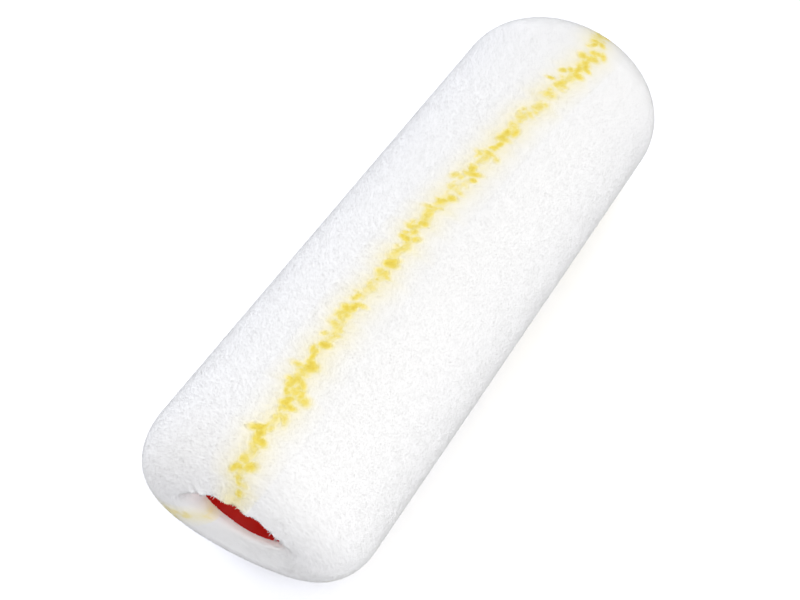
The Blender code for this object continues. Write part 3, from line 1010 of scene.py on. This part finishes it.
def woven_cloth(name, code, gap_shade_code, threads_round, threads_along):
    """A plain weave, drawn from the two directions of the UV map."""
    # Matt yarn: no gloss, and painted shade in the gaps between the threads, darker than the threads' crowns
    material, tree, shader = new_material(name, Roughness=0.9, Sheen_Weight=0.2)
    uv = add_node(tree, "ShaderNodeUVMap", uv_map="OFBake")
    parts = add_node(tree, "ShaderNodeSeparateXYZ", {"Vector": uv.outputs["UV"]})
    waves = []
    for axis, threads in (("X", threads_round), ("Y", threads_along)):
        turns = add_node(
            tree, "ShaderNodeMath", {0: parts.outputs[axis], 1: math.pi * threads}, operation="MULTIPLY"
        )
        waves.append(add_node(tree, "ShaderNodeMath", {0: turns.outputs[0]}, operation="SINE"))
    weave = add_node(
        tree, "ShaderNodeMath", {0: waves[0].outputs[0], 1: waves[1].outputs[0]}, operation="MULTIPLY"
    )
    raised = add_node(tree, "ShaderNodeMath", {0: weave.outputs[0]}, operation="ABSOLUTE")
    colour = add_node(tree, "ShaderNodeMix", {"Factor": raised.outputs[0]}, data_type="RGBA")
    colour.inputs["A"].default_value, colour.inputs["B"].default_value = linear(gap_shade_code), linear(code)
    tree.links.new(colour.outputs["Result"], shader.inputs["Base Color"])
    bump = add_node(tree, "ShaderNodeBump", {"Height": raised.outputs[0], "Distance": WEAVE_DEPTH})
    tree.links.new(bump.outputs["Normal"], shader.inputs["Normal"])
    return material


GROUND_CLOTH = woven_cloth(
    "woven polyester ground cloth",
    "#E6E3D8",
    # painted shade in the gaps between the threads
    "#BDB8A8",
    round(cloth_turn / THREAD_PITCH),
    round(2 * cloth_half / THREAD_PITCH),
)
print("threads round the cloth:", round(cloth_turn / THREAD_PITCH))


# %% Tube of ground cloth
def cloth_tube(name, turns, lengths):
    """A closed tube of cloth, with one map of the cloth for its outside and its inside."""
    angles = np.linspace(0, math.tau, turns + 1)[None, :]
    x = np.linspace(-cloth_half, cloth_half, lengths + 1)[:, None]
    y, z = np.cos(angles), np.sin(angles)
    walls = [
        np.stack(np.broadcast_arrays(x, radius * y, AXIS_HEIGHT + radius * z), axis=-1)
        for radius in (cloth_outer, cloth_inner)
    ]
    share_round, share_along = np.linspace(0, 1, turns + 1), np.linspace(0, 1, lengths + 1)
    shares = np.broadcast_arrays(share_round[None, :], share_along[:, None])
    index = np.arange((turns + 1) * (lengths + 1)).reshape(lengths + 1, turns + 1)
    behind = index + index.size
    faces = grid_faces(index) + grid_faces(behind[:, ::-1])
    faces += grid_faces(np.stack([behind[0], index[0]])) + grid_faces(np.stack([index[-1], behind[-1]]))
    mesh = bpy.data.meshes.new(name)
    mesh.from_pydata(np.concatenate([w.reshape(-1, 3) for w in walls]).tolist(), [], faces)
    corners = np.empty(len(mesh.loops), np.int32)
    mesh.loops.foreach_get("vertex_index", corners)
    places = np.tile(np.stack(shares, axis=-1).reshape(-1, 2), (2, 1))[corners]
    mesh.uv_layers.new(name="OFBake").data.foreach_set("uv", places.astype(np.float32).ravel())
    tube = bmesh.new()
    tube.from_mesh(mesh)
    bmesh.ops.remove_doubles(tube, verts=tube.verts, dist=TINY / 10)
    bmesh.ops.recalc_face_normals(tube, faces=tube.faces)
    tube.to_mesh(mesh)
    tube.free()
    mesh.shade_smooth()
    return new_object(name, mesh)


cloth = cloth_tube("ground_cloth", turns=96, lengths=60)
cloth.data.materials.append(GROUND_CLOTH)
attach(cloth, "sleeve")
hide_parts("backing_cloth")
print("cloth in mm:", round(cloth_turn / MM, 1), "by", round(2 * cloth_half / MM, 1))

# %% [markdown]
# ## Floor, backdrop and light
# The sleeve lies on plain white paper under soft studio light. The paper has to look white without more light
# on the sleeve, so it adds a little glow that only the camera sees, and it still takes the sleeve's shadow.

# %% Floor
FLOOR_SIZE = 6.0
FLOOR_GLOW = 0.24  # seen by the camera alone

floor_mesh = bpy.data.meshes.new("paper_floor")
half = FLOOR_SIZE / 2
floor_corners = [(-half, -half, 0), (half, -half, 0), (half, half, 0), (-half, half, 0)]
floor_mesh.from_pydata(floor_corners, [], [(0, 1, 2, 3)])
floor = new_object("paper_floor", floor_mesh)


def seen_rays(tree):
    """1 for rays that show a surface to the camera, straight or by gloss or glass, and 0 for light."""
    rays = add_node(tree, "ShaderNodeLightPath").outputs
    plain = add_node(
        tree, "ShaderNodeMath", {0: rays["Is Camera Ray"], 1: rays["Is Glossy Ray"]}, operation="MAXIMUM"
    )
    both = add_node(
        tree, "ShaderNodeMath", {0: plain.outputs[0], 1: rays["Is Transmission Ray"]}, operation="MAXIMUM"
    )
    return both.outputs[0]


# Matt paper: an even white without gloss
paper, tree, shader = new_material("matt white paper", Roughness=0.95, Base_Color=linear("#F0F1F7"))
glow = add_node(tree, "ShaderNodeMath", {0: seen_rays(tree), 1: FLOOR_GLOW}, operation="MULTIPLY")
shader.inputs["Emission Color"].default_value = (1, 1, 1, 1)
tree.links.new(glow.outputs[0], shader.inputs["Emission Strength"])
floor.data.materials.append(paper)
print("floor:", FLOOR_SIZE, "m square of", paper.name)

# %% Studio light from all round
AMBIENT = 0.84
world = bpy.data.worlds.new("studio")
bpy.context.scene.world = world
world.use_nodes = True
tree = world.node_tree
strength = add_node(
    tree, "ShaderNodeMapRange", {"Value": seen_rays(tree), "To Min": AMBIENT, "To Max": 1.0}
)
tree.links.new(strength.outputs["Result"], tree.nodes["Background"].inputs["Strength"])
tree.nodes["Background"].inputs["Color"].default_value = (1, 1, 1, 1)
print("floor and backdrop are white to the camera, the studio's light is", AMBIENT)


# %% Lamps
LAMP_DISTANCE = 1.2
SOFTBOX_SIZE = 0.9


def softbox(name, toward, watts, colour="#FFFFFF"):
    """A square area lamp that shines at the sleeve's middle from a direction."""
    lamp = bpy.data.objects.new(name, bpy.data.lights.new(name, "AREA"))
    bpy.context.scene.collection.objects.link(lamp)
    direction = Vector(toward).normalized()
    lamp.location = middle + direction * LAMP_DISTANCE
    lamp.rotation_euler = direction.to_track_quat("Z", "Y").to_euler()
    lamp.data.size = SOFTBOX_SIZE
    lamp.data.energy = watts
    lamp.data.color = linear(colour)[:3]
    lamp.visible_camera = False


softbox("key_softbox", toward=(0.1, -0.45, 1.0), watts=0.9)
softbox("left_softbox", toward=(0.35, 1.0, 0.35), watts=5.6, colour="#E8EEFF")
softbox("right_softbox", toward=(0.0, -1.0, 0.3), watts=2.4)
softbox("end_softbox", toward=(-0.45, -0.4, 0.85), watts=1.8)
print("light: softboxes above, on both sides and before the near end")

# %% Finish with the plain view transform
bpy.context.scene.view_settings.view_transform = "Standard"
